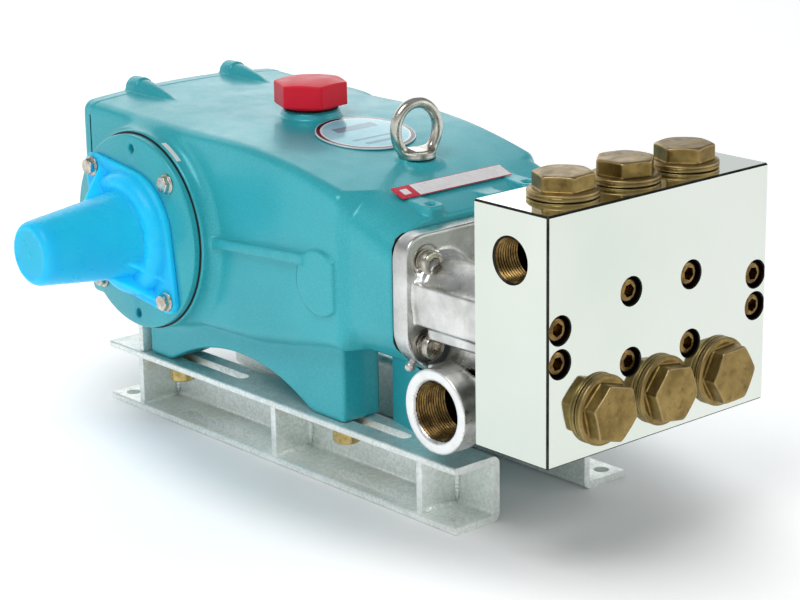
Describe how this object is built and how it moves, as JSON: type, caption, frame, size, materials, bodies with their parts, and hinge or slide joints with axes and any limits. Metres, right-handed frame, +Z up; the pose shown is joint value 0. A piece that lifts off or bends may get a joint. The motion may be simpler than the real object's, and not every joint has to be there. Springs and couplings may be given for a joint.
{
  "type": "pressure washer pump",
  "caption": "High-pressure plunger pump: cast crankcase on channel rails, inlet manifold, polished valve block with hexagon plugs, guarded shaft end, filler cap and lifting eye.",
  "frame": {"origin": "middle of the base: on the surface that the rails stand on, under the middle of the whole box", "axes": "+X along the crankshaft from the guarded end to the keyed drive end, +Y from the valve block to the rear cover, +Z up"},
  "size_m": [0.4206, 0.567, 0.2883],
  "materials": {
    "turquoise_paint": "smooth glossy turquoise paint over a casting",
    "polished_steel": "mirror-polished stainless steel",
    "cast_stainless": "satin cast stainless steel, machined on its ring faces",
    "bright_zinc": "bright zinc-plated steel with a fine crystalline mottle",
    "yellow_zinc": "yellow-passivated zinc plate",
    "dull_bronze": "dull aluminium bronze, cast and machined",
    "machined_steel": "ground and turned steel",
    "forged_steel": "dark forged steel",
    "white_ceramic": "smooth ground ceramic",
    "black_rubber": "matt black nitrile rubber",
    "blue_plastic": "thin translucent bright blue moulded plastic",
    "red_plastic": "glossy red moulded plastic",
    "nameplate_print": "printed oval sticker, pale blue with a dark border",
    "strip_print": "printed white strip with a red border",
    "gauge_glass": "clear moulded lens"
  },
  "bodies": {
    "pump": {"crankcase": "turquoise_paint", "rear_cover": "turquoise_paint", "left_bearing_cover": "turquoise_paint", "right_bearing_cover": "turquoise_paint", "valve_block": "polished_steel", "inlet_manifold": "cast_stainless", "inlet_tube": "cast_stainless", "left_rail": "bright_zinc", "right_rail": "bright_zinc", "rear_cross_plate": "bright_zinc", "lifting_eye": "bright_zinc", "oil_drain_plug": "bright_zinc", "front_left_foot_bolt": "yellow_zinc", "front_right_foot_bolt": "yellow_zinc", "rear_left_foot_bolt": "yellow_zinc", "rear_right_foot_bolt": "yellow_zinc", "inlet_valve_plug_1": "dull_bronze", "inlet_valve_plug_2": "dull_bronze", "inlet_valve_plug_3": "dull_bronze", "discharge_valve_plug_1": "dull_bronze", "discharge_valve_plug_2": "dull_bronze", "discharge_valve_plug_3": "dull_bronze", "left_bearing_cup": "machined_steel", "right_bearing_cup": "machined_steel", "left_shaft_seal": "black_rubber", "right_shaft_seal": "black_rubber", "oil_seal_1": "black_rubber", "oil_seal_2": "black_rubber", "oil_seal_3": "black_rubber", "plunger_packing_1": "black_rubber", "plunger_packing_2": "black_rubber", "plunger_packing_3": "black_rubber", "shaft_guard": "blue_plastic", "nameplate": "nameplate_print", "warning_strip": "strip_print", "oil_sight_gauge": "gauge_glass"},
    "crankshaft": {"crankshaft": "forged_steel", "shaft_key": "machined_steel", "left_bearing_cone": "machined_steel", "right_bearing_cone": "machined_steel"},
    "rod_set_1": {"connecting_rod_1": "forged_steel", "wrist_pin_1": "machined_steel"},
    "plunger_set_1": {"crosshead_1": "machined_steel", "plunger_1": "white_ceramic"},
    "rod_set_2": {"connecting_rod_2": "forged_steel", "wrist_pin_2": "machined_steel"},
    "plunger_set_2": {"crosshead_2": "machined_steel", "plunger_2": "white_ceramic"},
    "rod_set_3": {"connecting_rod_3": "forged_steel", "wrist_pin_3": "machined_steel"},
    "plunger_set_3": {"crosshead_3": "machined_steel", "plunger_3": "white_ceramic"},
    "inlet_valve_1": {"inlet_valve_1": "machined_steel"},
    "discharge_valve_1": {"discharge_valve_1": "machined_steel"},
    "inlet_valve_2": {"inlet_valve_2": "machined_steel"},
    "discharge_valve_2": {"discharge_valve_2": "machined_steel"},
    "inlet_valve_3": {"inlet_valve_3": "machined_steel"},
    "discharge_valve_3": {"discharge_valve_3": "machined_steel"},
    "cap_seal": {"filler_cap_seal": "black_rubber"},
    "filler_cap": {"oil_filler_cap": "red_plastic"}
  },
  "joints": [
    {"name": "crankshaft_spin", "type": "hinge", "parent": "pump", "child": "crankshaft", "pos_m": [0.00525, 0.1905, 0.17], "axis": [1, 0, 0], "continuous": true},
    {"name": "rod_1_swing", "type": "hinge", "parent": "crankshaft", "child": "rod_set_1", "pos_m": [-0.05475, 0.2145, 0.17], "axis": [1, 0, 0], "continuous": true},
    {"name": "plunger_1_slide", "type": "slide", "parent": "pump", "child": "plunger_set_1", "axis": [0, 1, 0], "range_m": [-0.048, 0]},
    {"name": "rod_2_swing", "type": "hinge", "parent": "crankshaft", "child": "rod_set_2", "pos_m": [0.00525, 0.1785, 0.19079], "axis": [1, 0, 0], "continuous": true},
    {"name": "plunger_2_slide", "type": "slide", "parent": "pump", "child": "plunger_set_2", "axis": [0, 1, 0], "range_m": [-0.01381, 0.03419]},
    {"name": "rod_3_swing", "type": "hinge", "parent": "crankshaft", "child": "rod_set_3", "pos_m": [0.06525, 0.1785, 0.14922], "axis": [1, 0, 0], "continuous": true},
    {"name": "plunger_3_slide", "type": "slide", "parent": "pump", "child": "plunger_set_3", "axis": [0, 1, 0], "range_m": [-0.01381, 0.03419]},
    {"name": "inlet_valve_1_lift", "type": "slide", "parent": "pump", "child": "inlet_valve_1", "axis": [0, -1, 0], "range_m": [0, 0.005], "stiffness_N_per_m": 2000, "springref_m": -0.004},
    {"name": "discharge_valve_1_lift", "type": "slide", "parent": "pump", "child": "discharge_valve_1", "axis": [0, 0, 1], "range_m": [0, 0.005], "stiffness_N_per_m": 2000, "springref_m": -0.004},
    {"name": "inlet_valve_2_lift", "type": "slide", "parent": "pump", "child": "inlet_valve_2", "axis": [0, -1, 0], "range_m": [0, 0.005], "stiffness_N_per_m": 2000, "springref_m": -0.004},
    {"name": "discharge_valve_2_lift", "type": "slide", "parent": "pump", "child": "discharge_valve_2", "axis": [0, 0, 1], "range_m": [0, 0.005], "stiffness_N_per_m": 2000, "springref_m": -0.004},
    {"name": "inlet_valve_3_lift", "type": "slide", "parent": "pump", "child": "inlet_valve_3", "axis": [0, -1, 0], "range_m": [0, 0.005], "stiffness_N_per_m": 2000, "springref_m": -0.004},
    {"name": "discharge_valve_3_lift", "type": "slide", "parent": "pump", "child": "discharge_valve_3", "axis": [0, 0, 1], "range_m": [0, 0.005], "stiffness_N_per_m": 2000, "springref_m": -0.004},
    {"name": "cap_lift", "type": "slide", "parent": "pump", "child": "cap_seal", "axis": [0, 0, 1], "range_m": [0, 0.016]},
    {"name": "cap_turn", "type": "hinge", "parent": "cap_seal", "child": "filler_cap", "pos_m": [0.00525, 0.1085, 0.27], "axis": [0, 0, 1], "range_deg": [0, 1440]}
  ],
  "couplings": [
    {"joint": "rod_1_swing", "follows": "crankshaft_spin", "ratio": -1},
    {"joint": "rod_2_swing", "follows": "crankshaft_spin", "ratio": -1},
    {"joint": "rod_3_swing", "follows": "crankshaft_spin", "ratio": -1},
    {"joint": "cap_turn", "follows": "cap_lift", "rad_per_m": 1570.8}
  ]
}
